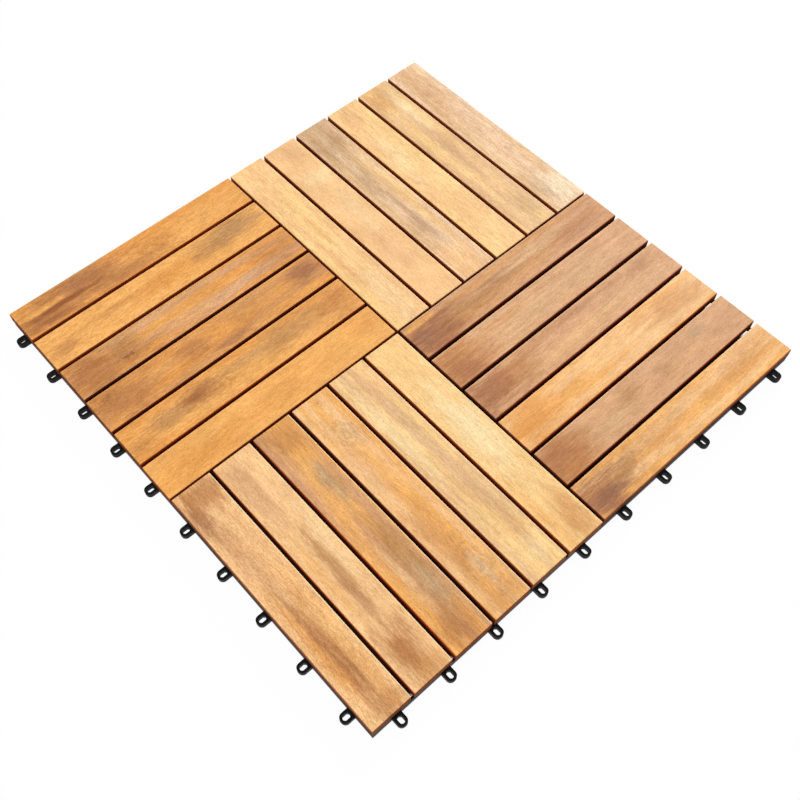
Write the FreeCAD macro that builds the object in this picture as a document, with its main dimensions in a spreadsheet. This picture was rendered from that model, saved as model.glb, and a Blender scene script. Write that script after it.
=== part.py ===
import FreeCAD, Part
import math
import os
import Sketcher

# Interlocking deck tile: acacia slats on a moulded plastic base.
# The origin is the centre of the tile on the ground, and +Z points up.
# Two blocks on one diagonal have their slats along Y, and the other two have them along X.
# The base has loops on its -X and -Y sides, and pegs for the next tile's loops under its +X and +Y rims.

SIZES = {
    # slats
    "slats_per_block": 6,
    "slat_width": 46.5,
    "slat_gap": 3.7,
    "slat_thickness": 12.0,
    "slat_easing": 0.8,
    "block_gap": 2.5,
    # base
    "base_height": 10.0,
    "base_inset": 0.5,
    "wall_thickness": 2.5,
    "rib_thickness": 2.0,
    "rib_relief": 0.5,
    "centre_rib_thickness": 4.0,
    "rim_width": 5.5,
    "rim_thickness": 1.8,
    # rails, which carry the screws
    "screw_inset": 30.25,
    "rail_width": 12.0,
    "rail_wall": 2.0,
    "rail_web": 2.5,
    # loops and pegs
    "loops_per_block": 5,
    "loop_width": 11.0,
    "loop_reach": 12.5,
    "loop_rise": 2.0,
    "loop_thickness": 6.0,
    "loop_corner": 5.0,
    "loop_play": 1.0,
    "slot_width": 5.2,
    "slot_length": 7.6,
    "slot_chamfer": 1.5,
    "slot_centre": 6.2,
    "peg_diameter": 4.8,
    "peg_length": 7.2,
    # screws
    "screw_head_diameter": 7.0,
    "screw_head_height": 2.4,
    "screw_shank_diameter": 3.5,
    "screw_depth": 9.0,
    "screw_hole_play": 1.0,
    "pilot_hole_play": 0.2,
}

doc = FreeCAD.newDocument("deck_tile")


def make_sheet():
    sheet = doc.addObject("Spreadsheet::Sheet", "dims")
    for row, (name, value) in enumerate(SIZES.items(), start=1):
        sheet.set("A%d" % row, name)
        sheet.set("B%d" % row, str(value))
        sheet.setAlias("B%d" % row, name)
    doc.recompute()
    return sheet


sheet = make_sheet()

# Places and sizes that follow from the sheet, as formulas for the expressions below.
SLAT_PITCH = "(dims.slat_width + dims.slat_gap)"
SLAT_LENGTH = "(dims.slats_per_block * " + SLAT_PITCH + " - dims.slat_gap)"
BLOCK_PITCH = "(" + SLAT_LENGTH + " + dims.block_gap)"
BLOCK_CENTRE = "(" + BLOCK_PITCH + " / 2)"
FIRST_SLAT = "(" + BLOCK_CENTRE + " - (dims.slats_per_block - 1) / 2 * " + SLAT_PITCH + ")"
SLAT_SPAN = "((dims.slats_per_block - 1) * " + SLAT_PITCH + ")"
SCREW_ROW = "(" + SLAT_LENGTH + " / 2 - dims.screw_inset)"
BASE_HALF = "(" + BLOCK_PITCH + " - dims.block_gap / 2 - dims.base_inset)"
BASE_GAP = "(dims.block_gap + 2 * dims.base_inset)"
LOOP_PITCH = "(" + BLOCK_PITCH + " / dims.loops_per_block)"
FIRST_LOOP = "(" + LOOP_PITCH + " / 2 - " + BLOCK_PITCH + ")"
LOOP_SPAN = "((2 * dims.loops_per_block - 1) * " + LOOP_PITCH + ")"
LOOP_ROOM = "(dims.loop_reach - " + BASE_GAP + " + dims.loop_play)"
RIM_UNDERSIDE = "(dims.base_height - dims.rim_thickness)"
WEB_UNDERSIDE = "(dims.base_height - dims.rail_web)"
PEG_LINE = "(" + BASE_HALF + " + " + BASE_GAP + " - dims.slot_centre)"


BLOCKS = ("far", "left", "near", "right")
RAIL_ROWS = ["(" + BLOCK_CENTRE + " - " + SCREW_ROW + ")", "(" + BLOCK_CENTRE + " + " + SCREW_ROW + ")"]
CROSS_ROWS = ["(" + BLOCK_CENTRE + " + " + SCREW_ROW + " * " + step + ")" for step in ("-1 / 3", "1 / 3")]
RIB_DEPTH = "(dims.base_height - 2 * dims.rib_relief)"


def minus(formula):
    return "-(" + formula + ")"


def value_of(formula):
    """The number that a formula gives with the sheet's sizes."""
    result = sheet.evalExpression(formula)
    return float(getattr(result, "Value", result))


def origin_part(body, role):
    for feature in body.Origin.OriginFeatures:
        if feature.Role == role:
            return feature
    raise ValueError("no " + role)


def new_body(name):
    body = doc.addObject("PartDesign::Body", name)
    body.Label = name
    body.AllowCompound = True
    return body


def new_sketch(body, name, plane="XY_Plane", level=None, at=None):
    """A sketch on one of the body's own planes, raised to a level or moved to a place."""
    sketch = body.newObject("Sketcher::SketchObject", name)
    sketch.AttachmentSupport = (origin_part(body, plane), [""])
    sketch.MapMode = "FlatFace"
    if level:
        sketch.setExpression(".AttachmentOffset.Base.z", level)
    if at:
        sketch.setExpression(".AttachmentOffset.Base.x", at[0])
        sketch.setExpression(".AttachmentOffset.Base.y", at[1])
    return sketch


def bind(sketch, constraint, formula):
    """Adds a constraint whose value follows a formula."""
    index = sketch.addConstraint(constraint)
    sketch.setExpression("Constraints[%d]" % index, formula)


def pin_point(sketch, geometry, end, corner):
    """Holds one point of the sketch at the place that two formulas give."""
    for axis, formula in zip("XY", corner):
        if formula == "0":
            other = -2 if axis == "X" else -1
            sketch.addConstraint(Sketcher.Constraint("PointOnObject", geometry, end, other))
        else:
            value = value_of(formula)
            bind(sketch, Sketcher.Constraint("Distance" + axis, -1, 1, geometry, end, value), formula)


def polygon(sketch, corners):
    """A closed outline of straight lines through corners that are pairs of formulas."""
    points = [FreeCAD.Vector(value_of(x), value_of(y), 0) for x, y in corners]
    first = sketch.GeometryCount
    count = len(points)
    for i in range(count):
        sketch.addGeometry(Part.LineSegment(points[i], points[(i + 1) % count]), False)
    for i in range(count):
        sketch.addConstraint(Sketcher.Constraint("Coincident", first + i, 2, first + (i + 1) % count, 1))
    for i in range(count):
        pin_point(sketch, first + i, 1, corners[i])


def rectangle(sketch, left, bottom, right, top):
    polygon(sketch, [(left, bottom), (right, bottom), (right, top), (left, top)])


def circle_outline(sketch, diameter, centre):
    middle = FreeCAD.Vector(value_of(centre[0]), value_of(centre[1]), 0)
    radius = value_of(diameter) / 2
    circle = sketch.addGeometry(Part.Circle(middle, FreeCAD.Vector(0, 0, 1), radius), False)
    pin_point(sketch, circle, 3, centre)
    bind(sketch, Sketcher.Constraint("Diameter", circle, 2 * radius), diameter)


def hexagon(sketch, diameter, centre):
    """A regular hexagon on a construction circle of the given diameter."""
    first = sketch.GeometryCount
    middle = FreeCAD.Vector(value_of(centre[0]), value_of(centre[1]), 0)
    radius = value_of(diameter) / 2
    corners = []
    for i in range(6):
        angle = math.radians(60 * i)
        corners.append(middle + FreeCAD.Vector(radius * math.cos(angle), radius * math.sin(angle), 0))
    for i in range(6):
        sketch.addGeometry(Part.LineSegment(corners[i], corners[(i + 1) % 6]), False)
    circle = first + 6
    sketch.addGeometry(Part.Circle(middle, FreeCAD.Vector(0, 0, 1), radius), True)
    for i in range(6):
        sketch.addConstraint(Sketcher.Constraint("Coincident", first + i, 2, first + (i + 1) % 6, 1))
        sketch.addConstraint(Sketcher.Constraint("PointOnObject", first + i, 1, circle))
    for i in range(1, 6):
        sketch.addConstraint(Sketcher.Constraint("Equal", first, first + i))
    sketch.addConstraint(Sketcher.Constraint("Horizontal", circle, 3, first, 1))
    pin_point(sketch, circle, 3, centre)
    bind(sketch, Sketcher.Constraint("Diameter", circle, 2 * radius), diameter)


def finish_feature(body, feature, before, grows):
    """Checks that a feature added or removed material, as it should."""
    body.Tip = feature
    doc.recompute()
    volume = feature.Shape.Volume
    if grows != (volume > before) or abs(volume - before) < 0.01:
        raise RuntimeError(feature.Name + " changed nothing or went the wrong way")
    return volume


def pad(body, sketch, name, length, down=False):
    before = body.Shape.Volume if body.Tip else 0.0
    feature = body.newObject("PartDesign::Pad", name)
    feature.Profile = sketch
    feature.Reversed = down
    feature.setExpression("Length", length)
    finish_feature(body, feature, before, True)
    return feature


def pocket(body, sketch, name, depth):
    """Cuts upwards from the sketch."""
    before = body.Shape.Volume
    feature = body.newObject("PartDesign::Pocket", name)
    feature.Profile = sketch
    feature.Reversed = True
    feature.setExpression("Length", depth)
    finish_feature(body, feature, before, False)
    return feature


def repeat(body, name, features, rows, turns=1, backwards=False):
    """Repeats features in rows, each an axis, a span and a count, and then round the tile's centre."""
    before = body.Shape.Volume
    grows = features[0].TypeId != "PartDesign::Pocket"
    pattern = body.newObject("PartDesign::MultiTransform", name)
    pattern.Originals = features
    steps = []
    for number, (axis, span, count) in enumerate(rows, start=1):
        row = body.newObject("PartDesign::LinearPattern", "%s_row_%d" % (name, number))
        row.Direction = (origin_part(body, axis), [""])
        row.setExpression("Length", span)
        row.setExpression("Occurrences", count)
        steps.append(row)
    if turns > 1:
        turn = body.newObject("PartDesign::PolarPattern", name + "_turn")
        turn.Axis = (origin_part(body, "Z_Axis"), [""])
        turn.Mode = "Spacing"
        turn.Offset = 90
        turn.Reversed = backwards
        turn.Occurrences = turns
        steps.append(turn)
    pattern.Transformations = steps
    finish_feature(body, pattern, before, grows)
    return pattern


def make_block_ribs(name, turn):
    """Ribs and screw rails of one block, drawn for the +X +Y block and turned to its own corner.

    Thin ribs run under the slats' centre lines, two more run across them, and two rails
    like upturned channels carry a row of screw holes each.
    """
    body = new_body(name)
    body.Placement.Rotation = FreeCAD.Rotation(FreeCAD.Vector(0, 0, 1), 90 * turn)
    half = "dims.rib_thickness / 2"
    along = new_sketch(body, name + "_along_outline", level="dims.rib_relief")
    rectangle(along, FIRST_SLAT + " - " + half, "0", FIRST_SLAT + " + " + half, BASE_HALF)
    rib = pad(body, along, name + "_along", RIB_DEPTH)
    slats = ("X_Axis", SLAT_SPAN, "dims.slats_per_block")
    repeat(body, name + "_along_all", [rib], [slats])

    across = new_sketch(body, name + "_across_outline", level="dims.rib_relief")
    for row in CROSS_ROWS:
        rectangle(across, "0", row + " - " + half, BASE_HALF, row + " + " + half)
    pad(body, across, name + "_across", RIB_DEPTH)

    rail_outline = new_sketch(body, name + "_rail_outline")
    half = "dims.rail_width / 2"
    for row in RAIL_ROWS:
        rectangle(rail_outline, "0", row + " - " + half, BASE_HALF, row + " + " + half)
    pad(body, rail_outline, name + "_rails", "dims.base_height")

    channels = new_sketch(body, name + "_channel_outline")
    start = "dims.centre_rib_thickness / 2 + dims.rail_wall"
    end = BASE_HALF + " - dims.rim_width"
    half = "(dims.rail_width / 2 - dims.rail_wall)"
    for row in RAIL_ROWS:
        rectangle(channels, start, row + " - " + half, end, row + " + " + half)
    pocket(body, channels, name + "_channels", WEB_UNDERSIDE)

    hole = new_sketch(body, name + "_screw_hole_outline")
    hexagon(hole, "dims.screw_shank_diameter + dims.screw_hole_play", (FIRST_SLAT, RAIL_ROWS[0]))
    cut = pocket(body, hole, name + "_screw_hole", "dims.base_height")
    rails = ("Y_Axis", "2 * " + SCREW_ROW, "2")
    repeat(body, name + "_screw_holes", [cut], [slats, rails])
    return body


def make_centre_ribs():
    """A cross of ribs under the seams between the four blocks."""
    body = new_body("centre_ribs")
    half = "(dims.centre_rib_thickness / 2)"
    low = minus(half)
    near = minus(BASE_HALF)
    corners = [(low, near), (half, near), (half, low), (BASE_HALF, low), (BASE_HALF, half), (half, half)]
    corners += [(half, BASE_HALF), (low, BASE_HALF), (low, half), (near, half), (near, low), (low, low)]
    sketch = new_sketch(body, "centre_ribs_outline")
    polygon(sketch, corners)
    pad(body, sketch, "centre_ribs_pad", "dims.base_height - dims.rib_relief")
    return body


def make_loop_room():
    """The space under the far edges that the next tile's loops need."""
    body = new_body("loop_room")
    inner = "(" + BASE_HALF + " - " + LOOP_ROOM + ")"
    wall = "-(" + BASE_HALF + " - dims.wall_thickness)"
    outer = "(" + BASE_HALF + " + dims.rim_width)"
    sketch = new_sketch(body, "loop_room_outline")
    polygon(sketch, [(outer, wall), (outer, outer), (wall, outer), (wall, inner), (inner, inner), (inner, wall)])
    pad(body, sketch, "loop_room_pad", RIM_UNDERSIDE)
    return body


def loop_outline(sketch):
    """One loop on the -Y side: a round-cornered tongue."""
    left = "(" + FIRST_LOOP + " - dims.loop_width / 2)"
    right = "(" + FIRST_LOOP + " + dims.loop_width / 2)"
    root = "-(" + BASE_HALF + " - dims.wall_thickness / 2)"
    end = "-(" + BASE_HALF + " + dims.loop_reach)"
    x0 = value_of(left)
    x1 = value_of(right)
    y0 = value_of(root)
    y1 = value_of(end)
    corner = SIZES["loop_corner"]
    spot = FreeCAD.Vector
    up = spot(0, 0, 1)
    sketch.addGeometry(Part.LineSegment(spot(x0, y0, 0), spot(x0, y1 + corner, 0)), False)
    bend = Part.Circle(spot(x0 + corner, y1 + corner, 0), up, corner)
    sketch.addGeometry(Part.ArcOfCircle(bend, math.pi, 1.5 * math.pi), False)
    sketch.addGeometry(Part.LineSegment(spot(x0 + corner, y1, 0), spot(x1 - corner, y1, 0)), False)
    bend = Part.Circle(spot(x1 - corner, y1 + corner, 0), up, corner)
    sketch.addGeometry(Part.ArcOfCircle(bend, 1.5 * math.pi, 2 * math.pi), False)
    sketch.addGeometry(Part.LineSegment(spot(x1, y1 + corner, 0), spot(x1, y0, 0)), False)
    sketch.addGeometry(Part.LineSegment(spot(x1, y0, 0), spot(x0, y0, 0)), False)
    for i in range(4):
        sketch.addConstraint(Sketcher.Constraint("Tangent", i, 2, i + 1, 1))
    sketch.addConstraint(Sketcher.Constraint("Coincident", 4, 2, 5, 1))
    sketch.addConstraint(Sketcher.Constraint("Coincident", 5, 2, 0, 1))
    sketch.addConstraint(Sketcher.Constraint("Vertical", 0))
    sketch.addConstraint(Sketcher.Constraint("Vertical", 4))
    sketch.addConstraint(Sketcher.Constraint("Equal", 1, 3))
    bind(sketch, Sketcher.Constraint("Radius", 1, corner), "dims.loop_corner")
    bind(sketch, Sketcher.Constraint("DistanceY", -1, 1, 2, 1, y1), end)
    pin_point(sketch, 0, 1, (left, root))
    pin_point(sketch, 5, 1, (right, root))


def slot_outline(sketch, centre, width, length):
    """A slot along Y with cut corners."""
    x, y = centre
    side = "(" + width + ") / 2"
    end = "(" + length + ") / 2"
    inner_side = side + " - dims.slot_chamfer"
    inner_end = end + " - dims.slot_chamfer"
    steps = [(side, inner_end), (inner_side, end), (minus(inner_side), end), (minus(side), inner_end)]
    steps += [(minus(across), minus(along)) for across, along in steps]
    polygon(sketch, [(x + " + (" + across + ")", y + " + (" + along + ")") for across, along in steps])


def make_edge():
    """Near walls with their rows of open loops, and the thin far rim with the pegs under it."""
    body = new_body("edge")
    near = minus(BASE_HALF)
    inner_near = "-(" + BASE_HALF + " - dims.wall_thickness)"
    inner_far = "(" + BASE_HALF + " - dims.rim_width)"

    rim = new_sketch(body, "rim_outline", level=RIM_UNDERSIDE)
    rectangle(rim, near, near, BASE_HALF, BASE_HALF)
    rectangle(rim, inner_near, inner_near, inner_far, inner_far)
    pad(body, rim, "rim", "dims.rim_thickness")

    walls = new_sketch(body, "walls_outline")
    corners = [(near, near), (BASE_HALF, near), (BASE_HALF, inner_near)]
    corners += [(inner_near, inner_near), (inner_near, BASE_HALF), (near, BASE_HALF)]
    polygon(walls, corners)
    pad(body, walls, "walls", RIM_UNDERSIDE)

    outline = new_sketch(body, "loop_outline", level="dims.loop_rise")
    loop_outline(outline)
    centre = (FIRST_LOOP, "-(" + BASE_HALF + " + dims.slot_centre)")
    slot_outline(outline, centre, "dims.slot_width", "dims.slot_length")
    loop = pad(body, outline, "loop", "dims.loop_thickness")
    row = ("X_Axis", LOOP_SPAN, "2 * dims.loops_per_block")
    repeat(body, "loops", [loop], [row], turns=2, backwards=True)

    foot = new_sketch(body, "peg_outline", level=RIM_UNDERSIDE)
    circle_outline(foot, "dims.peg_diameter", (FIRST_LOOP, PEG_LINE))
    peg = pad(body, foot, "peg", "dims.peg_length", down=True)
    repeat(body, "pegs", [peg], [row], turns=2, backwards=True)
    return body


def make_base():
    """The base is one moulding: the edge and the ribs of all four blocks, joined."""
    room = make_loop_room()
    ribs = [make_centre_ribs()]
    for turn, block in enumerate(BLOCKS):
        ribs.append(make_block_ribs("ribs_" + block, turn))
    pieces = [make_edge()]
    for piece in ribs:
        trimmed = doc.addObject("Part::Cut", piece.Name + "_trimmed")
        trimmed.Base = piece
        trimmed.Tool = room
        pieces.append(trimmed)
    base = doc.addObject("Part::MultiFuse", "base_grid")
    base.Label = "base_grid"
    base.Shapes = pieces
    base.Refine = True
    doc.recompute()
    return base


def turned(x, y, turn):
    """A place in the far block, turned by quarter turns about the tile's centre."""
    for _ in range(turn):
        x, y = minus(y), x
    return x, y


def place(thing, x, y, z, turn):
    """Puts a sub-part of the far block's kind in the block of that turn."""
    thing.Placement.Rotation = FreeCAD.Rotation(FreeCAD.Vector(0, 0, 1), 90 * turn)
    across, along = turned(x, y, turn)
    thing.setExpression(".Placement.Base.x", across)
    thing.setExpression(".Placement.Base.y", along)
    thing.setExpression(".Placement.Base.z", z)


def top_face(shape):
    """The name of the highest flat face."""
    faces = enumerate(shape.Faces, start=1)
    number, _ = max(faces, key=lambda numbered: numbered[1].CenterOfMass.z)
    return "Face%d" % number


def make_slat(name, number, turn):
    """A wooden slat with an eased top and two blind pilot holes in its underside."""
    body = new_body(name)
    outline = new_sketch(body, name + "_outline")
    half_width = "(dims.slat_width / 2)"
    half_length = "(" + SLAT_LENGTH + " / 2)"
    rectangle(outline, minus(half_width), minus(half_length), half_width, half_length)
    board = pad(body, outline, name + "_board", "dims.slat_thickness")

    easing = body.newObject("PartDesign::Chamfer", name + "_easing")
    easing.Base = (board, [top_face(board.Shape)])
    easing.setExpression("Size", "dims.slat_easing")
    finish_feature(body, easing, board.Shape.Volume, False)

    holes = new_sketch(body, name + "_pilot_hole_outline")
    for row in (minus(SCREW_ROW), SCREW_ROW):
        hexagon(holes, "dims.screw_shank_diameter + dims.pilot_hole_play", ("0", row))
    pocket(body, holes, name + "_pilot_holes", "dims.screw_depth + dims.pilot_hole_play")

    across = FIRST_SLAT + " + %d * %s" % (number, SLAT_PITCH)
    place(body, across, BLOCK_CENTRE, "dims.base_height", turn)
    return body


def make_screws(name, turn):
    """The screws of one block: heads under the rails' webs, shanks up in the slats."""
    body = new_body(name)
    row = "(" + BLOCK_CENTRE + " - " + SCREW_ROW + ")"
    head_outline = new_sketch(body, name + "_head_outline", level=WEB_UNDERSIDE)
    hexagon(head_outline, "dims.screw_head_diameter", (FIRST_SLAT, row))
    head = pad(body, head_outline, name + "_head", "dims.screw_head_height", down=True)

    shank_outline = new_sketch(body, name + "_shank_outline", level=WEB_UNDERSIDE)
    hexagon(shank_outline, "dims.screw_shank_diameter", (FIRST_SLAT, row))
    shank = pad(body, shank_outline, name + "_shank", "dims.rail_web + dims.screw_depth")

    slats = ("X_Axis", SLAT_SPAN, "dims.slats_per_block")
    rails = ("Y_Axis", "2 * " + SCREW_ROW, "2")
    repeat(body, name + "_all", [head, shank], [slats, rails])
    place(body, "0", "0", "0", turn)
    return body


def make_parts():
    parts = [make_base()]
    for turn, block in enumerate(BLOCKS):
        for number in range(int(SIZES["slats_per_block"])):
            parts.append(make_slat("slat_%s_%d" % (block, number + 1), number, turn))
        parts.append(make_screws("screws_" + block, turn))
    doc.recompute()
    return parts


def check(parts):
    """Stops if an object failed to compute or a sub-part has no sound shape."""
    for thing in doc.Objects:
        if "Invalid" in thing.State or "Error" in thing.State:
            raise RuntimeError(thing.Name + " is " + " ".join(thing.State))
    for part in parts:
        if part.Shape.isNull() or not part.Shape.isValid():
            raise RuntimeError(part.Label + " has no sound shape")


def write(parts):
    os.makedirs("parts", exist_ok=True)
    for part in parts:
        part.Shape.exportStep(os.path.join("parts", part.Label + ".step"))


parts = make_parts()
check(parts)
write(parts)
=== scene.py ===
"""An acacia deck tile of 24 boards on a black plastic base, dressed and lit as photographed."""
import math
import random
from typing import NamedTuple

import bmesh
import bpy
from mathutils import Matrix, Vector


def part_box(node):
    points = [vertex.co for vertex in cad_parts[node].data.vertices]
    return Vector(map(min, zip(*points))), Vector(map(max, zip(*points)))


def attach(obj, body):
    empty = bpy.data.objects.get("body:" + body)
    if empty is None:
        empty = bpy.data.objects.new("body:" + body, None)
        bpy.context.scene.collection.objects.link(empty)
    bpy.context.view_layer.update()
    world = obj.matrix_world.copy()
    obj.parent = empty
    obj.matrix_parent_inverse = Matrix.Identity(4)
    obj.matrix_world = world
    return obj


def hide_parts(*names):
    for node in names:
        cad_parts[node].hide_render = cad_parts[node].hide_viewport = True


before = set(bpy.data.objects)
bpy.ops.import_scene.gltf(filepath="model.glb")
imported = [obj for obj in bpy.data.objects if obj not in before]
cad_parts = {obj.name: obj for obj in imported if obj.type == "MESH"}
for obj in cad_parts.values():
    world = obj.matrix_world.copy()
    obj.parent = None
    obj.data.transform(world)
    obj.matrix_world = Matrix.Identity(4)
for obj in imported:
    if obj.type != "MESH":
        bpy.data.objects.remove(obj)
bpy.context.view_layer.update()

MM = 0.001

# Camera, fitted to the panel's corners and gap lines in the photograph. Places and lens are in
# millimetres, the roll in radians.
CAMERA_PLACE = Vector((-421.5, -461.7, 928.2))
CAMERA_TARGET = Vector((-55.5, -65.5, 22.0))
CAMERA_ROLL = 0.0128
CAMERA_LENS = 45.85
CAMERA_SENSOR = 36.0

# Light, in metres and watts. Each lamp is a disk that faces the origin:
# (name, place, diameter, power, whether reflections show it).
WORLD_LIGHT = 0.40
LAMPS = [
    ("key", (3.6, 1.6, 2.6), 2.0, 135.0, True),
    ("top", (-0.9, -0.1, 2.4), 1.4, 26.0, False),
    ("under", (0.0, 0.0, -3.0), 0.3, 70.0, False),
]

# Floor, in metres. It is painted dark under the tile, a painted shadow that makes the gaps look
# deep, and turns white at the tile's edge. The tile's middle is a little off the origin, by
# FLOOR_SHIFT.
FLOOR_HALF = 3.0
FLOOR_DROP = 0.0002
FLOOR_SHIFT = 0.002
FLOOR_DARK_TO = 0.288
FLOOR_WHITE_FROM = 0.298
FLOOR_PAINTED_SHADOW = 0.02
FLOOR_PALE = 0.9
FLOOR_ROUGHNESS = 0.9
FLOOR_GLOW = 0.965

# Wood tones, as they look in the photograph.
# The far boards' paler tones partly hold painted sheen, partly the wood's own tone.
TONES = {
    "cream": "FDE3B2",
    "straw": "FBD193",
    "peach": "F7C893",
    "honey": "F3B469",
    "amber": "E9A358",
    "tan": "D89D63",
    "rose": "DCAB82",
    "umber": "8A5A3A",
    "plum": "8E6450",
    "clay": "BE8250",
    "mauve": "AD7653",
    "bark": "935630",
    "smoke": "BC8D5E",
    "dusk": "C2A07C",
    "sand": "E6BE90",
    "fawn": "D8A67C",
    "shell": "F4D3B2",
    "ivory": "F9E3C4",
}

# Noises of the grain: turns to the millimetre across and along, detail and roughness. Drift and
# ripple bend the grain, fibre and fine are its lines, fleck its dark pores, cloud and band the
# slow changes of tone.
GRAIN_NOISE = {
    "drift": (0.012, 0.006, 2.0, 0.5),
    "ripple": (0.05, 0.022, 2.0, 0.5),
    "fibre": (0.7, 0.09, 4.0, 0.7),
    "fine": (2.0, 0.45, 3.0, 0.7),
    "fleck": (1.6, 0.24, 2.0, 0.6),
    "cloud": (0.04, 0.02, 6.0, 0.65),
    "band": (0.085, 0.0045, 3.0, 0.55),
}
GRAIN_SEED_STEP = 17.31
RIPPLE_SWAY = 3.0
FLECK_RANGE = (0.60, 0.71)
RING_ALONG = 0.005
RING_NOISE = {"detail": 3.0, "roughness": 0.6}
RING_RANGE = (0.36, 0.66)
BAND_RANGE = (0.38, 0.62)
RING_TINT = "C9936B"
FIBRE_CONTRAST = 0.8
FINE_CONTRAST = 1.1
CLOUD_CONTRAST = 0.6
FLECK_STRENGTH = 0.45
GREEN_POWER = 1.2
BLUE_POWER = 1.45

# Noises of a patch's outline, given as in GRAIN_NOISE. Slow makes it sway, and broad and narrow
# make its edge ragged. The seed steps give each board and each of its patches another outline.
PATCH_NOISE = {
    "slow": (0.02, 0.014, 2.0, 0.5),
    "broad": (0.14, 0.03, 3.0, 0.6),
    "narrow": (0.6, 0.07, 2.0, 0.6),
}
BOARD_SEED_STEP = 3.7
PATCH_SEED_STEP = 1.9
PATCH_SWAY = 1.2
PATCH_NARROW = 0.6
PATCH_RAGGED = 1.5
PATCH_RANGE = (0.25, 1.3)

# A knot. Its ranges are in knot sizes from its middle.
KNOT_NOISE = {"scale": 0.12, "detail": 3.0, "roughness": 0.6}
KNOT_WOBBLE = 2.2
KNOT_STRETCH = 1.8
KNOT_EYE_RANGE = (0.1, 0.6)
KNOT_RING_RANGE = (0.3, 2.6)
KNOT_WAVES = 8.0
KNOT_STRENGTH = 0.28

# Edges and finish of the boards. The three ranges are counted inward from an edge, in edge radii:
# where the deck surface starts, where the painted highlight on a board's far edge does, and where
# the grain's relief fades. A roughness is (share of the noise, base).
EDGE_RADIUS = 1.1 * MM
EDGE_STEPS = 3
SURFACE_RANGE = (2.0, 0.5)
LIT_EDGE_RANGE = (1.4, 0.5)
RELIEF_FADE_RANGE = (2.0, 1.0)
OIL_TINT = "FAF8F0"
WOOD_SPECULAR = 0.18
WOOD_ROUGHNESS = (0.18, 0.36)
FLANK_ROUGHNESS = 0.9
GRAIN_BUMP = 0.3
GRAIN_DEPTH = 0.1 * MM

# The boards' sides, which carry painted shade. Those in the gaps go from a top tint to a deep
# tint, darker and redder deeper down, and the outer ones have tints of their own. A tint
# multiplies the wood's colour.
FLANK_TOP_SHADE_TINT = "AE6840"
FLANK_DEEP_SHADE_TINT = "6E2E16"
FLANK_FADE = 5 * MM
# Painted shade on the outer sides, darker towards the bottom, and on the outer ends, per block.
OUTER_SIDE_TINT = "B07A5C"
OUTER_SIDE_SHADE_TINT = "301A14"
OUTER_SIDE_RISE = 0.35
OUTER_END_TINT = {"far": "9B684D", "left": "865841", "near": "9B684D", "right": "9B684D"}
OUTER_FROM = 298.0 * MM
UNDER_TINT = "C09C7C"
UNDER_RANGE = (0.8 * MM, 0.4 * MM)

# Differences between the four blocks: the painted highlight along a board's far edge, the width
# in millimetres of the painted shade along its near side and its near end, and the brightness of
# its ends in the gaps, which paints shade where it is below 1.
PAINTED_EDGE_HIGHLIGHT = {"far": 0.25, "left": 0.15, "near": 0.65, "right": 0.35}
PAINTED_EDGE_SHADE = {"far": (0.4, 0.12), "left": (0.5, 0.36), "near": (0.8, 0.36), "right": (1.1, 1.2)}
# How softly the painted shade fades, in shares of its width.
SHADE_SPREAD = (0.3, 1.7)
END_FLANK = {"far": 1.0, "left": 1.0, "near": 1.0, "right": 0.38}

# The plastic and the steel.
PLASTIC_TONES = ("0A0A0B", "131314")
PEBBLE_NOISE = {"scale": 2600.0, "detail": 3.0, "roughness": 0.6}
HAZE_NOISE = {"scale": 60.0, "detail": 3.0}
PLASTIC_ROUGHNESS = (0.2, 0.42)
PLASTIC_SPECULAR = 0.12
PLASTIC_BUMP = 0.15
PLASTIC_DEPTH = 0.03 * MM
STEEL_TONES = ("B9BBBD", "D8D6CE")
BLOTCH_NOISE = {"scale": 900.0, "detail": 3.0}
STEEL_METALLIC = 0.6
STEEL_ROUGHNESS = (0.2, 0.25)

# A screw, in millimetres. Its outline runs from the middle of the cross recess over the head to
# the shank, as (radius, height above the head's lowest point, height in the recess's arms).
SCREW_INSET = 30.25
SCREW_SIDES = 32
RECESS_ARMS = 4
SCREW_TIP = 1.8
SCREW_TIP_RADIUS = 0.3
SCREW_OUTLINE = [
    (0.45, 1.40, 1.40), (0.75, 0.02, 1.30), (1.20, 0.06, 1.15), (1.70, 0.12, 0.90),
    (2.10, 0.22, 0.22), (2.80, 0.60, 0.60), (3.30, 1.20, 1.20), (3.50, 1.80, 1.80),
    (3.50, 2.40, 2.40), (1.75, 2.40, 2.40),
]

# Small accidents of assembly: each board lies up to BOARD_SLACK millimetres along from its place,
# and each screw stops at a turn of its own.
BOARD_SLACK = 0.4
PLACING = random.Random(7)
SCREW_TURNS = random.Random(11)


class Board(NamedTuple):
    """The look of one board. Lengths are in millimetres."""
    main: str                   # the two tones that the wood bands between
    other: str
    wander: float               # how far the grain strays sideways
    pitch: float                # width of a growth ring
    heart: float                # the tree's heart, across from the board's centre line
    tilt: float                 # how the rings dive along the board
    rings: float                # how much the rings show, from 0 to 1
    patches: list               # (tone, strength, across, along, half width, half length)
    grain: float = 1.0          # share of the usual contrast of fibre and fine
    # flank paints light and shade onto the long sides in the gaps, as a brightness.
    flank: float = 1.0          # brightness of the long sides in the gaps
    # side_shade is the width in millimetres of a painted shade.
    side_shade: float = None    # shade along the near side, where it isn't the block's
    knots: tuple = ()           # (across, along, size, strength of the dark eye)


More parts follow.
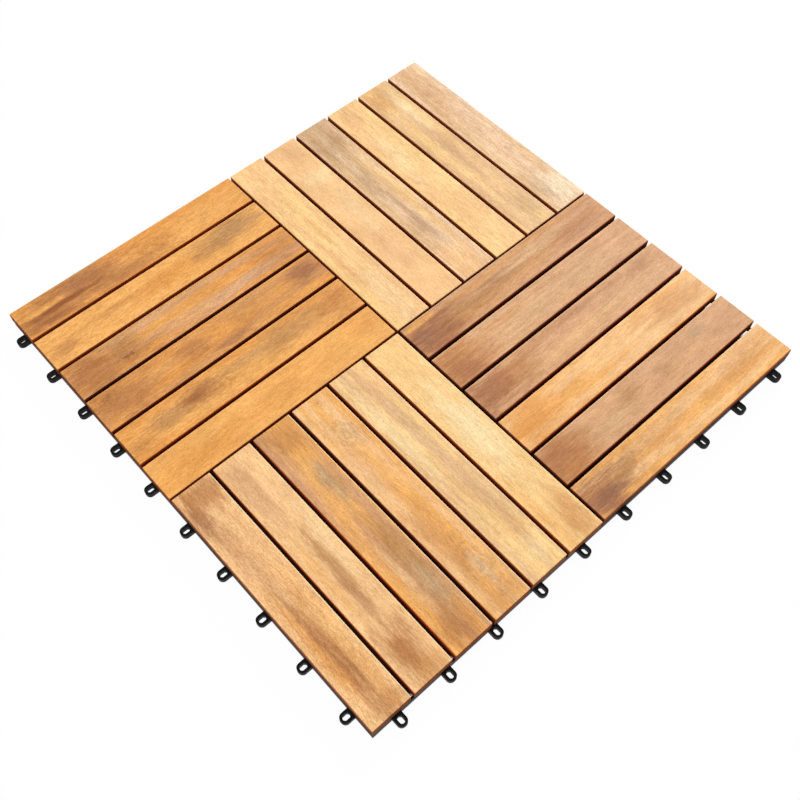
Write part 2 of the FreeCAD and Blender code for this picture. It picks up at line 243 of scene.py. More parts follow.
# The boards. Patches and knots are placed from the board's centre, with across and along both
# counted the way +X and +Y run.
BOARDS = {
    "slat_far_1": Board(
        main="straw", other="peach", wander=10, pitch=4.2, heart=-60, tilt=0.02, rings=0.12,
        side_shade=0.12,
        patches=[("peach", 0.8, 0, 118, 24, 40), ("cream", 0.35, 4, -110, 14, 60),
                 ("tan", 0.35, 2, 16, 5, 34), ("tan", 0.3, -10, -40, 5, 40)]),
    "slat_far_2": Board(
        main="peach", other="peach", wander=14, pitch=7, heart=60, tilt=0.05, rings=0.06,
        grain=0.7, flank=0.85,
        patches=[("cream", 0.45, 0, 80, 24, 14), ("cream", 0.3, 6, 10, 14, 50),
                 ("rose", 0.35, -4, -60, 12, 40), ("rose", 0.3, 6, 128, 16, 20)]),
    "slat_far_3": Board(
        main="sand", other="shell", wander=12, pitch=4.5, heart=-30, tilt=0.06, rings=0.2,
        grain=1.25, flank=0.85,
        patches=[("dusk", 0.75, 0, 116, 30, 56), ("smoke", 0.5, 8, 108, 7, 18),
                 ("straw", 0.7, 14, 0, 9, 90), ("dusk", 0.65, -6, 30, 12, 50),
                 ("mauve", 0.4, -2, -36, 3.5, 44), ("dusk", 0.65, -2, -62, 8, 44),
                 ("peach", 0.9, -4, -130, 22, 36)]),
    "slat_far_4": Board(
        main="straw", other="peach", wander=9, pitch=5, heart=70, tilt=0.02, rings=0.1, flank=0.85,
        patches=[("rose", 0.4, -4, 126, 14, 24), ("cream", 0.4, -4, 40, 14, 60),
                 ("peach", 0.6, 6, -80, 12, 50)]),
    "slat_far_5": Board(
        main="sand", other="straw", wander=18, pitch=5, heart=12, tilt=0.1, rings=0.18, flank=0.85,
        patches=[("tan", 0.6, -6, 124, 14, 28), ("cream", 0.8, 12, 84, 7, 44),
                 ("dusk", 0.35, 0, 0, 9, 50), ("straw", 0.8, -12, 20, 8, 80),
                 ("dusk", 0.45, 4, -112, 14, 34)]),
    "slat_far_6": Board(
        main="sand", other="shell", wander=16, pitch=4, heart=0, tilt=0.09, rings=0.16, grain=1.4,
        flank=0.85,
        patches=[("rose", 0.45, 0, 80, 16, 80), ("rose", 0.4, 2, -30, 12, 60),
                 ("shell", 0.6, 8, 10, 9, 90), ("ivory", 1.0, 8, -124, 18, 34),
                 ("dusk", 0.5, -8, -112, 10, 26)]),
    "slat_left_1": Board(
        main="honey", other="honey", wander=8, pitch=6, heart=-80, tilt=0.01, rings=0.08,
        side_shade=0.2,
        patches=[("amber", 0.9, -8, -100, 20, 90), ("amber", 0.35, 0, 30, 20, 70),
                 ("amber", 0.6, 8, 128, 14, 30)]),
    "slat_left_2": Board(
        main="honey", other="amber", wander=22, pitch=7, heart=4, tilt=0.14, rings=0.2, grain=1.2,
        flank=1.25,
        patches=[("smoke", 0.75, 4, -92, 12, 30), ("smoke", 0.7, 2, 60, 16, 56),
                 ("clay", 1.0, 4, -56, 14, 26), ("bark", 0.45, 6, -60, 6, 16),
                 ("bark", 0.35, -4, -38, 5, 28), ("smoke", 0.5, 6, -4, 8, 40),
                 ("clay", 0.55, 2, 126, 22, 30), ("honey", 0.9, -15, 10, 6, 130),
                 ("clay", 0.45, -6, -138, 10, 18)],
        knots=[(0, -38, 11, 0.0)]),
    "slat_left_3": Board(
        main="amber", other="tan", wander=14, pitch=5, heart=40, tilt=0.07, rings=0.18, grain=1.25,
        flank=0.75,
        patches=[("clay", 0.95, 2, -112, 24, 56), ("clay", 0.8, 2, -26, 14, 26),
                 ("mauve", 0.6, -14, 12, 5, 28), ("honey", 0.4, 6, -66, 8, 24),
                 ("smoke", 0.45, 6, 60, 12, 40), ("mauve", 0.9, 4, 128, 17, 28),
                 ("plum", 0.2, 4, 130, 8, 12)],
        knots=[(14, -130, 7, 0.2)]),
    "slat_left_4": Board(
        main="amber", other="fawn", wander=10, pitch=5, heart=-40, tilt=0.05, rings=0.16,
        grain=1.4, flank=0.5,
        patches=[("clay", 1.0, 0, -124, 30, 42), ("smoke", 0.9, 6, -78, 13, 22),
                 ("clay", 0.7, -2, -70, 20, 30), ("honey", 0.45, 4, 0, 14, 70),
                 ("clay", 0.6, 2, 122, 22, 34)],
        knots=[(-8, -82, 7, 0.75)]),
    "slat_left_5": Board(
        main="honey", other="honey", wander=10, pitch=4, heart=50, tilt=0.03, rings=0.14,
        grain=1.3,
        patches=[("amber", 0.9, 0, 20, 14, 70), ("smoke", 0.85, 6, 98, 18, 58),
                 ("clay", 0.7, -4, -126, 9, 20), ("clay", 0.3, 4, -60, 5, 40)]),
    "slat_left_6": Board(
        main="honey", other="amber", wander=14, pitch=5, heart=30, tilt=0.06, rings=0.18,
        grain=1.3, flank=1.1,
        patches=[("clay", 1.0, 4, -74, 26, 80), ("clay", 0.95, -8, -116, 18, 44),
                 ("honey", 1.0, 5, -118, 5, 36), ("bark", 0.9, -3, -98, 5, 54),
                 ("bark", 0.55, -16, -112, 5, 40), ("clay", 0.85, -12, -20, 10, 66),
                 ("mauve", 0.6, 10, -66, 8, 40), ("amber", 0.7, -4, 24, 10, 30)],
        knots=[(-2, 26, 9, 0.0)]),
    # slat_near_1's broad cream patch is partly painted sheen, partly the wood's own pale tone.
    "slat_near_1": Board(
        main="straw", other="straw", wander=9, pitch=4.5, heart=60, tilt=0.02, rings=0.08,
        flank=1.2, side_shade=0.5,
        patches=[("cream", 0.95, 2, 10, 20, 70), ("tan", 0.75, 9, -118, 15, 34),
                 ("honey", 0.6, -16, -110, 6, 60), ("tan", 0.4, 4, -136, 20, 16)]),
    "slat_near_2": Board(
        main="sand", other="straw", wander=14, pitch=4, heart=-40, tilt=0.05, rings=0.14,
        grain=0.9,
        patches=[("rose", 0.5, 6, 110, 14, 40), ("cream", 0.6, -12, 50, 8, 70),
                 ("cream", 0.4, 4, -122, 14, 20), ("rose", 0.4, 4, -30, 14, 40),
                 ("tan", 0.3, 8, -90, 8, 30)]),
    "slat_near_3": Board(
        main="peach", other="honey", wander=16, pitch=6, heart=-10, tilt=0.1, rings=0.18,
        flank=0.6,
        patches=[("tan", 0.8, -6, -60, 16, 60), ("tan", 0.7, 2, -136, 22, 20),
                 ("sand", 0.9, 4, -98, 10, 20), ("rose", 0.5, -8, 60, 12, 60),
                 ("sand", 0.7, 4, 92, 12, 20)],
        knots=[(4, 139, 3.0, 0.3), (2, 92, 9, 0.0), (4, -98, 11, 0.0)]),
    "slat_near_4": Board(
        main="fawn", other="honey", wander=14, pitch=5, heart=24, tilt=0.06, rings=0.2, grain=1.2,
        flank=1.3,
        patches=[("clay", 0.6, 2, 132, 24, 26), ("dusk", 0.9, 5, 60, 11, 40),
                 ("smoke", 0.75, 8, -34, 12, 76), ("honey", 0.55, -10, 40, 7, 70),
                 ("sand", 0.6, -8, -70, 5, 60), ("dusk", 0.8, 8, -84, 11, 34),
                 ("clay", 0.7, -4, -128, 20, 26)],
        knots=[(-9, 117, 2.0, 0.5)]),
    "slat_near_5": Board(
        main="peach", other="peach", wander=12, pitch=5, heart=-20, tilt=0.05, rings=0.16,
        flank=1.2, side_shade=0.6,
        patches=[("smoke", 0.75, 2, -10, 9, 54), ("mauve", 0.6, -1, -44, 6, 40),
                 ("clay", 0.95, -2, -116, 18, 40), ("cream", 0.3, 14, 20, 7, 80),
                 ("honey", 0.4, -12, -10, 7, 60), ("rose", 0.7, -6, 100, 14, 50),
                 ("tan", 0.5, 6, -140, 16, 14)]),
    "slat_near_6": Board(
        main="peach", other="peach", wander=18, pitch=4.5, heart=-6, tilt=0.09, rings=0.24,
        grain=1.35,
        patches=[("mauve", 0.9, -13, 112, 10, 34), ("clay", 0.8, 4, 134, 22, 24),
                 ("clay", 0.8, -1, -60, 12, 80), ("bark", 0.5, -6, -96, 4, 44),
                 ("amber", 0.6, -12, -60, 7, 80), ("tan", 0.6, 8, -116, 12, 40),
                 ("mauve", 0.6, 2, -100, 3, 50), ("clay", 0.6, 6, -140, 18, 12),
                 ("mauve", 0.5, -6, -30, 3, 44), ("fawn", 0.45, -8, 60, 10, 50),
                 ("honey", 0.4, 10, -40, 9, 90)]),
    "slat_right_1": Board(
        main="fawn", other="tan", wander=10, pitch=4, heart=50, tilt=0.03, rings=0.24, grain=1.25,
        flank=0.7,
        patches=[("mauve", 1.0, -2, -122, 30, 44), ("plum", 0.5, 2, -134, 14, 22),
                 ("honey", 0.8, 17, -128, 5, 24), ("smoke", 0.7, -2, -40, 12, 60),
                 ("sand", 0.6, 8, 40, 12, 50), ("mauve", 0.4, -4, 104, 16, 50),
                 ("plum", 0.35, 8, -20, 2.4, 70), ("plum", 0.3, 0, 10, 2.2, 60)]),
    "slat_right_2": Board(
        main="fawn", other="rose", wander=12, pitch=4, heart=-40, tilt=0.04, rings=0.2, grain=1.1,
        flank=0.65,
        patches=[("clay", 0.95, -2, -128, 30, 40), ("mauve", 0.7, -8, -128, 16, 26),
                 ("sand", 0.5, -2, -30, 16, 60), ("sand", 0.4, 2, 60, 20, 60),
                 ("rose", 0.6, 2, 120, 20, 30), ("tan", 0.4, 8, -60, 5, 60)]),
    "slat_right_3": Board(
        main="fawn", other="rose", wander=14, pitch=4.5, heart=20, tilt=0.07, rings=0.2, grain=1.1,
        patches=[("mauve", 0.95, 2, -126, 30, 40), ("mauve", 0.55, 14, 20, 6, 60),
                 ("straw", 0.35, -8, 0, 10, 80), ("clay", 0.6, 2, -86, 18, 30),
                 ("sand", 0.4, -8, 80, 12, 50), ("mauve", 0.35, 12, 110, 8, 40)]),
    "slat_right_4": Board(
        main="honey", other="peach", wander=12, pitch=5, heart=-60, tilt=0.03, rings=0.12,
        flank=1.05,
        patches=[("amber", 0.9, 2, -116, 26, 44), ("peach", 0.65, 4, 20, 16, 60),
                 ("tan", 0.75, 0, 106, 20, 50), ("tan", 0.4, 8, 50, 6, 24)]),
    "slat_right_5": Board(
        main="fawn", other="rose", wander=12, pitch=6, heart=40, tilt=0.05, rings=0.14, flank=1.05,
        side_shade=0.9,
        patches=[("clay", 1.0, -2, -128, 30, 40), ("mauve", 0.5, 4, -132, 20, 24),
                 ("sand", 0.5, -6, -50, 10, 40), ("smoke", 0.7, 6, -26, 12, 24),
                 ("smoke", 0.6, 2, 30, 11, 18), ("dusk", 0.7, 12, 92, 8, 14),
                 ("rose", 0.7, -2, 126, 18, 34), ("peach", 0.4, -6, 66, 8, 40)]),
    "slat_right_6": Board(
        main="peach", other="honey", wander=12, pitch=6, heart=-20, tilt=0.06, rings=0.12,
        patches=[("mauve", 1.0, -2, -130, 30, 38), ("plum", 0.7, -8, -120, 8, 24),
                 ("smoke", 0.85, 6, -92, 13, 24), ("tan", 0.7, 2, -40, 14, 44),
                 ("smoke", 0.35, 8, -6, 7, 16), ("tan", 0.5, 2, 100, 16, 60)],
        knots=[(-2, -96, 14, 0.0)]),
}


def linear(code):
    """A six-digit colour code as linear light."""
    channels = [int(code[i:i + 2], 16) / 255 for i in (0, 2, 4)]
    return [c / 12.92 if c <= 0.04045 else ((c + 0.055) / 1.055) ** 2.4 for c in channels] + [1.0]


def tone(name):
    return linear(TONES[name])


def grey(level):
    """A grey that has this share of white's light."""
    return [level, level, level, 1.0]


class Graph:
    """Short names for building a node tree."""

    def __init__(self, tree):
        self.tree = tree

    def node(self, kind, **settings):
        made = self.tree.nodes.new(kind)
        for name, value in settings.items():
            setattr(made, name, value)
        return made

    def put(self, socket, value):
        if isinstance(value, bpy.types.NodeSocket):
            self.tree.links.new(value, socket)
        else:
            socket.default_value = value

    def math(self, operation, first, second=0.0, third=0.0):
        made = self.node("ShaderNodeMath", operation=operation)
        for socket, value in zip(made.inputs, (first, second, third)):
            self.put(socket, value)
        return made.outputs[0]

    def plus(self, first, second):
        return self.math("ADD", first, second)

    def minus(self, first, second):
        return self.math("SUBTRACT", first, second)

    def times(self, first, second):
        return self.math("MULTIPLY", first, second)

    def over(self, first, second):
        return self.math("DIVIDE", first, second)

    def line(self, value, slope, start):
        return self.math("MULTIPLY_ADD", value, slope, start)

    def about_one(self, noise, contrast):
        """A noise from 0 to 1 as a factor that is 1 in its middle."""
        return self.line(self.minus(noise, 0.5), contrast, 1.0)

    def distance(self, x, y):
        return self.math("SQRT", self.plus(self.math("POWER", x, 2.0), self.math("POWER", y, 2.0)))

    def smooth(self, value, low, high):
        """0 below low, 1 above high, and a smooth step between."""
        made = self.node("ShaderNodeMapRange", interpolation_type="SMOOTHSTEP")
        for name, part in (("Value", value), ("From Min", low), ("From Max", high)):
            self.put(made.inputs[name], part)
        return made.outputs["Result"]

    def join(self, x, y, z):
        made = self.node("ShaderNodeCombineXYZ")
        for socket, value in zip(made.inputs, (x, y, z)):
            self.put(socket, value)
        return made.outputs[0]

    def split(self, vector):
        made = self.node("ShaderNodeSeparateXYZ")
        self.put(made.inputs[0], vector)
        return made.outputs[0], made.outputs[1], made.outputs[2]

    def place(self):
        return self.node("ShaderNodeTexCoord").outputs["Object"]

    def noise(self, vector, scale=1.0, detail=2.0, roughness=0.5):
        made = self.node("ShaderNodeTexNoise")
        settings = {"Vector": vector, "Scale": scale, "Detail": detail, "Roughness": roughness}
        for name, value in settings.items():
            self.put(made.inputs[name], value)
        return made.outputs[0]

    def mix(self, amount, first, second, blend="MIX"):
        """A mix of two colours, which the node takes in sockets 6 and 7 and gives in output 2."""
        made = self.node("ShaderNodeMix", data_type="RGBA", blend_type=blend)
        self.put(made.inputs[0], amount)
        self.put(made.inputs[6], first)
        self.put(made.inputs[7], second)
        return made.outputs[2]

    def tint(self, colour, factor):
        return self.mix(1.0, colour, factor, blend="MULTIPLY")

    def group(self, tree, place, numbers):
        made = self.node("ShaderNodeGroup", node_tree=tree)
        self.put(made.inputs["Place"], place)
        for label, value in numbers.items():
            made.inputs[label].default_value = float(value)
        return made.outputs

    def bump(self, height, strength, depth):
        made = self.node("ShaderNodeBump")
        for name, value in (("Height", height), ("Strength", strength), ("Distance", depth)):
            self.put(made.inputs[name], value)
        return made.outputs[0]

    def seen(self):
        """1 where the camera or a reflection looks, 0 where only light falls."""
        path = self.node("ShaderNodeLightPath").outputs
        return self.math("MAXIMUM", path["Is Camera Ray"], path["Is Glossy Ray"])


def new_group(name, inputs, outputs):
    """A node group that takes a place and some numbers, and gives some numbers."""
    group = bpy.data.node_groups.new(name, "ShaderNodeTree")
    group.interface.new_socket("Place", in_out="INPUT", socket_type="NodeSocketVector")
    for label in inputs:
        group.interface.new_socket(label, in_out="INPUT", socket_type="NodeSocketFloat")
    for label in outputs:
        group.interface.new_socket(label, in_out="OUTPUT", socket_type="NodeSocketFloat")
    graph = Graph(group)
    return group, graph, graph.node("NodeGroupInput").outputs, graph.node("NodeGroupOutput").inputs


def make_grain_group():
    """Grain of one board, in millimetres: across, along and up, from the board's centre."""
    labels = ("Fibre", "Fleck", "Cloud", "Band", "Rings", "Fine")
    group, g, into, out = new_group(
        "acacia_grain", ("Seed", "Wander", "Ring Pitch", "Heart", "Tilt"), labels)
    across, along, up = g.split(into["Place"])
    seed = g.times(into["Seed"], GRAIN_SEED_STEP)

    def grain_noise(name, side):
        turns_across, turns_along, detail, roughness = GRAIN_NOISE[name]
        place = g.join(g.line(side, turns_across, seed), g.times(along, turns_along),
                       g.line(up, turns_across, seed))
        return g.noise(place, detail=detail, roughness=roughness)

    drift = g.minus(grain_noise("drift", across), 0.5)
    ripple = g.minus(grain_noise("ripple", across), 0.5)
    bent = g.plus(across, g.times(drift, into["Wander"]))
    bent = g.plus(bent, g.times(ripple, RIPPLE_SWAY))

    depth = g.plus(g.times(along, into["Tilt"]), up)
    reach = g.distance(g.minus(bent, into["Heart"]), depth)
    ring_place = g.join(g.plus(g.over(reach, into["Ring Pitch"]), seed),
                        g.times(along, RING_ALONG), seed)
    values = {
        "Fibre": grain_noise("fibre", bent),
        "Fleck": g.smooth(grain_noise("fleck", bent), *FLECK_RANGE),
        "Cloud": grain_noise("cloud", across),
        "Band": grain_noise("band", bent),
        "Rings": g.smooth(g.noise(ring_place, **RING_NOISE), *RING_RANGE),
        "Fine": grain_noise("fine", bent),
    }
    for label in labels:
        g.put(out[label], values[label])
    return group


def make_patch_group():
    """A soft uneven patch or streak of another tone, in millimetres on the board."""
    group, g, into, out = new_group(
        "acacia_patch", ("Across", "Along", "Half Width", "Half Length", "Seed"), ("Mask",))
    across, along, _ = g.split(into["Place"])

    def patch_noise(name):
        """A noise from -0.5 to 0.5."""
        turns_across, turns_along, detail, roughness = PATCH_NOISE[name]
        place = g.join(g.times(across, turns_across), g.times(along, turns_along), into["Seed"])
        return g.minus(g.noise(place, detail=detail, roughness=roughness), 0.5)

    sway = g.times(patch_noise("slow"), g.times(into["Half Width"], PATCH_SWAY))
    x = g.over(g.minus(g.plus(across, sway), into["Across"]), into["Half Width"])
    y = g.over(g.minus(along, into["Along"]), into["Half Length"])
    uneven = g.plus(patch_noise("broad"), g.times(patch_noise("narrow"), PATCH_NARROW))
    reach = g.plus(g.distance(x, y), g.times(uneven, PATCH_RAGGED))
    g.put(out["Mask"], g.minus(1.0, g.smooth(reach, *PATCH_RANGE)))
    return group


def make_knot_group():
    """Rings and a dark eye round a small knot, in millimetres on the board."""
    group, g, into, out = new_group("acacia_knot", ("Across", "Along", "Size"), ("Eye", "Rings"))
    across, along, _ = g.split(into["Place"])
    wobble = g.minus(g.noise(into["Place"], **KNOT_NOISE), 0.5)
    x = g.over(g.minus(across, into["Across"]), into["Size"])
    y = g.over(g.minus(along, into["Along"]), g.times(into["Size"], KNOT_STRETCH))
    reach = g.plus(g.distance(x, y), g.times(wobble, KNOT_WOBBLE))
    g.put(out["Eye"], g.minus(1.0, g.smooth(reach, *KNOT_EYE_RANGE)))
    wave = g.plus(g.times(g.math("SINE", g.times(reach, KNOT_WAVES)), 0.5), 0.5)
    g.put(out["Rings"], g.times(wave, g.minus(1.0, g.smooth(reach, *KNOT_RING_RANGE))))
    return group


GRAIN = make_grain_group()
PATCH = make_patch_group()
KNOT = make_knot_group()


def new_material(name):
    material = bpy.data.materials.new(name)
    material.use_nodes = True
    return material, Graph(material.node_tree), material.node_tree.nodes["Principled BSDF"]


def block_of(name):
    """far, left, near or right, from the name of a slat or of a block's screws."""
    return name.split("_")[1]


def wood_colour(g, board, board_mm, grain, seed):
    """The board's bands, patches, rings, knots and fibres, as they look on its top."""
    colour = g.mix(g.smooth(grain["Band"], *BAND_RANGE), tone(board.main), tone(board.other))
    for number, (shade, strength, across, along, width, length) in enumerate(board.patches):
        patch = g.group(PATCH, board_mm, {
            "Across": across, "Along": along, "Half Width": width, "Half Length": length,
            "Seed": seed * BOARD_SEED_STEP + number * PATCH_SEED_STEP})
        colour = g.mix(g.times(patch["Mask"], strength), colour, tone(shade))
    darker = g.tint(colour, linear(RING_TINT))
    colour = g.mix(g.times(grain["Rings"], board.rings), colour, darker)
    for across, along, knot_size, eye in board.knots:
        knot = g.group(KNOT, board_mm, {"Across": across, "Along": along, "Size": knot_size})
        colour = g.mix(g.times(knot["Rings"], KNOT_STRENGTH), colour, tone("umber"))
        colour = g.mix(g.times(knot["Eye"], eye), colour, tone("umber"))

    shade = g.about_one(grain["Fibre"], FIBRE_CONTRAST * board.grain)
    shade = g.times(shade, g.about_one(grain["Fine"], FINE_CONTRAST * board.grain))
    shade = g.times(shade, g.about_one(grain["Cloud"], CLOUD_CONTRAST))
    warm = g.join(shade, g.math("POWER", shade, GREEN_POWER), g.math("POWER", shade, BLUE_POWER))
    return g.mix(g.times(grain["Fleck"], FLECK_STRENGTH), g.tint(colour, warm), tone("umber"))


def make_wood(name, board, centre, size, seed):
    """Oiled acacia of one board; painted shade makes faces below the deck darker and redder."""
    material, g, shader = new_material("acacia_" + name)
    x, y, z = g.split(g.place())
    across, along = (y, x) if size.x > size.y else (x, y)
    half_width = min(size.x, size.y) / 2
    half_length = max(size.x, size.y) / 2
    block = block_of(name)

    board_mm = g.join(g.over(across, MM), g.over(along, MM), g.over(z, MM))
    grain = g.group(GRAIN, board_mm, {
        "Seed": seed, "Wander": board.wander, "Ring Pitch": board.pitch, "Heart": board.heart,
        "Tilt": board.tilt})
    wood = wood_colour(g, board, board_mm, grain, seed)

    def near_edge(place, edge, radii):
        """0 inside the board and 1 at the edge."""
        return g.smooth(place, *(edge - share * EDGE_RADIUS for share in radii))

    def past_shade(place, width):
        """0 in the painted shade along the edge where place is 0, and 1 past it."""
        return g.smooth(place, *(share * width * MM for share in SHADE_SPREAD))

    # The deck surface: 1 on top, 0 on the sides and in the painted shade at the edges.
    side_shade, end_shade = PAINTED_EDGE_SHADE[block]
    if board.side_shade is not None:
        side_shade = board.side_shade
    surface = near_edge(z, size.z, SURFACE_RANGE)
    unshaded_top = g.math("MINIMUM", past_shade(g.plus(across, half_width), side_shade),
                        past_shade(g.plus(along, half_length), end_shade))
    surface = g.math("MINIMUM", surface, unshaded_top)

    # The sides and ends in the gaps, those on the tile's outside, and the underside. All but the
    # underside carry painted shade.
    # Painted shade: darker and redder deeper in the gaps.
    height = g.smooth(z, size.z - FLANK_FADE, size.z - EDGE_RADIUS)
    flank = g.mix(height, linear(FLANK_DEEP_SHADE_TINT), linear(FLANK_TOP_SHADE_TINT))
    at_end = g.math("GREATER_THAN", g.math("ABSOLUTE", along), half_length - EDGE_RADIUS)
    # Painted light and shade in the gaps: a brightness per board's sides and per block's ends.
    flank = g.tint(flank, g.mix(at_end, grey(board.flank), grey(END_FLANK[block])))
    from_middle = (g.math("ABSOLUTE", g.plus(part, shift))
                   for part, shift in ((x, centre.x), (y, centre.y)))
    outer = g.math("GREATER_THAN", g.math("MAXIMUM", *from_middle), OUTER_FROM)
    # Painted shade on the tile's outer sides and ends, darker towards the bottom.
    rise = g.smooth(z, OUTER_SIDE_RISE * size.z, size.z)
    outer_side = g.mix(rise, linear(OUTER_SIDE_SHADE_TINT), linear(OUTER_SIDE_TINT))
    flank = g.mix(outer, flank, g.mix(at_end, outer_side, linear(OUTER_END_TINT[block])))
    flank = g.mix(g.smooth(z, *UNDER_RANGE), flank, linear(UNDER_TINT))

    # Painted highlight: the board's far edge is mixed towards cream.
    painted_highlight = g.times(near_edge(across, half_width, LIT_EDGE_RANGE), PAINTED_EDGE_HIGHLIGHT[block])
    top = g.mix(painted_highlight, g.tint(wood, linear(OIL_TINT)), tone("cream"))
    g.put(shader.inputs["Base Color"], g.mix(surface, g.tint(wood, flank), top))

    top_roughness = g.line(grain["Fibre"], *WOOD_ROUGHNESS)
    flank_roughness = g.line(surface, -FLANK_ROUGHNESS, FLANK_ROUGHNESS)
    g.put(shader.inputs["Roughness"], g.math("MAXIMUM", top_roughness, flank_roughness))
    shader.inputs["Specular IOR Level"].default_value = WOOD_SPECULAR
    relief = g.minus(g.plus(grain["Fibre"], grain["Fine"]), grain["Fleck"])
    edge = near_edge(g.math("ABSOLUTE", across), half_width, RELIEF_FADE_RANGE)
    strength = g.line(edge, -GRAIN_BUMP, GRAIN_BUMP)
    g.put(shader.inputs["Normal"], g.bump(relief, strength, GRAIN_DEPTH))
    return material


def make_plastic():
    """Black moulded plastic with a faint matte texture."""
    material, g, shader = new_material("black_plastic")
    place = g.place()
    pebble = g.noise(place, **PEBBLE_NOISE)
    haze = g.noise(place, **HAZE_NOISE)
    g.put(shader.inputs["Base Color"], g.mix(haze, *map(linear, PLASTIC_TONES)))
    g.put(shader.inputs["Roughness"], g.line(pebble, *PLASTIC_ROUGHNESS))
    shader.inputs["Specular IOR Level"].default_value = PLASTIC_SPECULAR
    g.put(shader.inputs["Normal"], g.bump(pebble, PLASTIC_BUMP, PLASTIC_DEPTH))
    return material


def make_steel():
    """Zinc-plated screw steel."""
    material, g, shader = new_material("zinc_steel")
    blotch = g.noise(g.place(), **BLOTCH_NOISE)
    g.put(shader.inputs["Base Color"], g.mix(blotch, *map(linear, STEEL_TONES)))
    shader.inputs["Metallic"].default_value = STEEL_METALLIC
    g.put(shader.inputs["Roughness"], g.line(blotch, *STEEL_ROUGHNESS))
    return material


def add_to_scene(name, data):
    made = bpy.data.objects.new(name, data)
    bpy.context.scene.collection.objects.link(made)
    return made


def replace_node(piece, name):
    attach(piece, "root")
    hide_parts(name)


def length_way(size):
    """The direction that a board of this size runs in."""
    return Vector((1, 0, 0)) if size.x > size.y else Vector((0, 1, 0))


def make_board(name, seed):
    """A board with rounded edges in place of the plain slat of the same name."""
    low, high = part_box(name)
    centre = Vector(((low.x + high.x) / 2, (low.y + high.y) / 2, low.z))
    size = high - low
    mesh = bpy.data.meshes.new(name + "_board")
    shape = bmesh.new()
    bmesh.ops.create_cube(shape, size=1.0)
    bmesh.ops.scale(shape, vec=size, verts=shape.verts)
    bmesh.ops.translate(shape, vec=(0, 0, size.z / 2), verts=shape.verts)
    bmesh.ops.bevel(shape, geom=shape.edges[:], offset=EDGE_RADIUS, segments=EDGE_STEPS,
                    profile=0.5, affect="EDGES")
    shape.to_mesh(mesh)
    shape.free()
    for face in mesh.polygons:
        face.use_smooth = True
    mesh.materials.append(make_wood(name, BOARDS[name], centre, size, seed))
    board = add_to_scene(name + "_board", mesh)
    board.location = centre + length_way(size) * PLACING.uniform(-BOARD_SLACK, BOARD_SLACK) * MM
    board.modifiers.new("even_normals", "WEIGHTED_NORMAL").keep_sharp = True
    replace_node(board, name)


def add_screw(verts, faces, place, low, high):
    """One pan-head wood screw with a cross recess, head down."""
    turn = SCREW_TURNS.uniform(0, math.tau)
    outline = [(radius, low + height * MM, low + in_arm * MM)
               for radius, height, in_arm in SCREW_OUTLINE]
    shank = outline[-1][0]
    outline += [(shank, high - SCREW_TIP * MM, high - SCREW_TIP * MM),
                (SCREW_TIP_RADIUS, high, high)]
    first = len(verts)
    for radius, height, in_arm in outline:
        for step in range(SCREW_SIDES):
            angle = turn + math.tau * step / SCREW_SIDES
            x = place.x + radius * MM * math.cos(angle)
            y = place.y + radius * MM * math.sin(angle)
            in_recess = step % (SCREW_SIDES // RECESS_ARMS) == 0
            verts.append((x, y, in_arm if in_recess else height))
    faces.append([first + step for step in reversed(range(SCREW_SIDES))])
    for ring in range(len(outline) - 1):
        start = first + ring * SCREW_SIDES
        above = start + SCREW_SIDES
        for step in range(SCREW_SIDES):
            after = (step + 1) % SCREW_SIDES
            faces.append([start + step, start + after, above + after, above + step])
    faces.append([len(verts) - SCREW_SIDES + step for step in range(SCREW_SIDES)])


def make_screws(name, steel):
    """The twelve screws of one block, two up into each board."""
    low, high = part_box(name)
    boards = [board for board in BOARDS if block_of(board) == block_of(name)]
    verts, faces = [], []
    for board in boards:
        board_low, board_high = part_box(board)
        size = board_high - board_low
        reach = max(size.x, size.y) / 2 - SCREW_INSET * MM
        for way in (-1, 1):
            place = (board_low + board_high) / 2 + length_way(size) * reach * way
            add_screw(verts, faces, place, low.z, high.z)
    mesh = bpy.data.meshes.new(name + "_set")
    mesh.from_pydata(verts, [], faces)
    mesh.materials.append(steel)
    replace_node(add_to_scene(name + "_set", mesh), name)


def dress_parts():
    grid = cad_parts["base_grid"]
    grid.data.materials.clear()
    grid.data.materials.append(make_plastic())
    steel = make_steel()
    for name in ("screws_far", "screws_left", "screws_near", "screws_right"):
        make_screws(name, steel)
    for seed, name in enumerate(BOARDS, start=1):
        make_board(name, seed)


def make_camera():
    forward = (CAMERA_TARGET - CAMERA_PLACE).normalized()
    right = forward.cross(Vector((0, 0, 1))).normalized()
    up = right.cross(forward)
    rolled_right = right * math.cos(CAMERA_ROLL) + up * math.sin(CAMERA_ROLL)
    rolled_up = up * math.cos(CAMERA_ROLL) - right * math.sin(CAMERA_ROLL)
    data = bpy.data.cameras.new("camera")
    data.lens = CAMERA_LENS
    data.sensor_width = CAMERA_SENSOR
    camera = add_to_scene("camera", data)
    turn = Matrix((rolled_right, rolled_up, -forward)).transposed().to_4x4()
    camera.matrix_world = Matrix.Translation(CAMERA_PLACE * MM) @ turn
    bpy.context.scene.camera = camera


def make_lamp(name, place, diameter, power, glossy):
    data = bpy.data.lights.new(name, "AREA")
    data.shape = "DISK"
    data.size = diameter
    data.energy = power
    lamp = add_to_scene(name, data)
    lamp.location = place
    lamp.visible_glossy = glossy
    lamp.rotation_euler = (Vector() - Vector(place)).to_track_quat("-Z", "Y").to_euler()


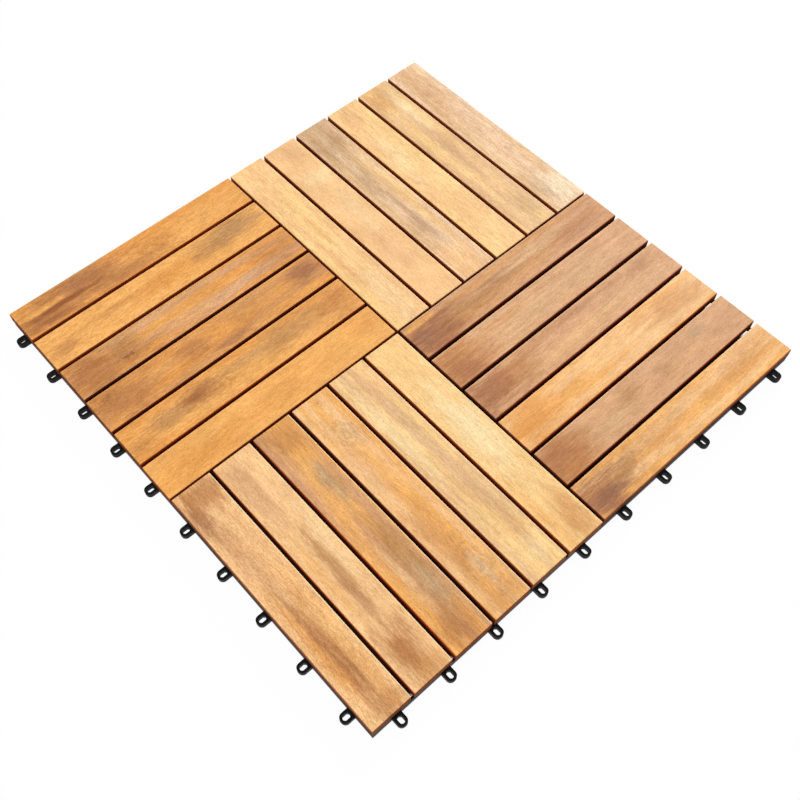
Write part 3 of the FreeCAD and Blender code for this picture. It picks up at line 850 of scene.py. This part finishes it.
def make_floor_material():
    """White where it is seen, with a faint shadow, and nothing from below or to the lamp there."""
    material, g, shader = new_material("white_floor")
    x, y, _ = g.split(g.place())
    reach = g.math("MAXIMUM", *(g.math("ABSOLUTE", g.plus(part, FLOOR_SHIFT)) for part in (x, y)))
    outside = g.smooth(reach, FLOOR_DARK_TO, FLOOR_WHITE_FROM)
    # Painted shadow: the floor's colour is dark under the tile.
    g.put(shader.inputs["Base Color"], g.mix(outside, grey(FLOOR_PAINTED_SHADOW), grey(FLOOR_PALE)))
    shader.inputs["Roughness"].default_value = FLOOR_ROUGHNESS

    def mix_shaders(amount, first, second):
        made = g.node("ShaderNodeMixShader")
        for socket, value in zip(made.inputs, (amount, first, second)):
            g.put(socket, value)
        return made.outputs[0]

    glow = g.node("ShaderNodeEmission").outputs[0]
    glow_share = g.times(g.times(g.seen(), outside), FLOOR_GLOW)
    top = mix_shaders(glow_share, shader.outputs[0], glow)
    behind = g.node("ShaderNodeNewGeometry").outputs["Backfacing"]
    shadow = g.node("ShaderNodeLightPath").outputs["Is Shadow Ray"]
    clear = g.node("ShaderNodeBsdfTransparent").outputs[0]
    one_sided = mix_shaders(g.math("MAXIMUM", behind, shadow), top, clear)
    g.put(g.tree.nodes["Material Output"].inputs["Surface"], one_sided)
    return material


def make_stage():
    """A white floor that keeps a faint shadow, and a white surround."""
    mesh = bpy.data.meshes.new("floor")
    corners = [(x * FLOOR_HALF, y * FLOOR_HALF, -FLOOR_DROP)
               for x, y in ((-1, -1), (1, -1), (1, 1), (-1, 1))]
    mesh.from_pydata(corners, [], [(0, 1, 2, 3)])
    mesh.materials.append(make_floor_material())
    add_to_scene("floor", mesh)

    world = bpy.data.worlds.new("surround")
    bpy.context.scene.world = world
    world.use_nodes = True
    g = Graph(world.node_tree)
    sky = world.node_tree.nodes["Background"]
    sky.inputs["Color"].default_value = grey(1.0)
    g.put(sky.inputs["Strength"], g.line(g.seen(), 1.0 - WORLD_LIGHT, WORLD_LIGHT))


bpy.context.scene.view_settings.view_transform = "Standard"
dress_parts()
make_camera()
make_stage()
for lamp in LAMPS:
    make_lamp(*lamp)
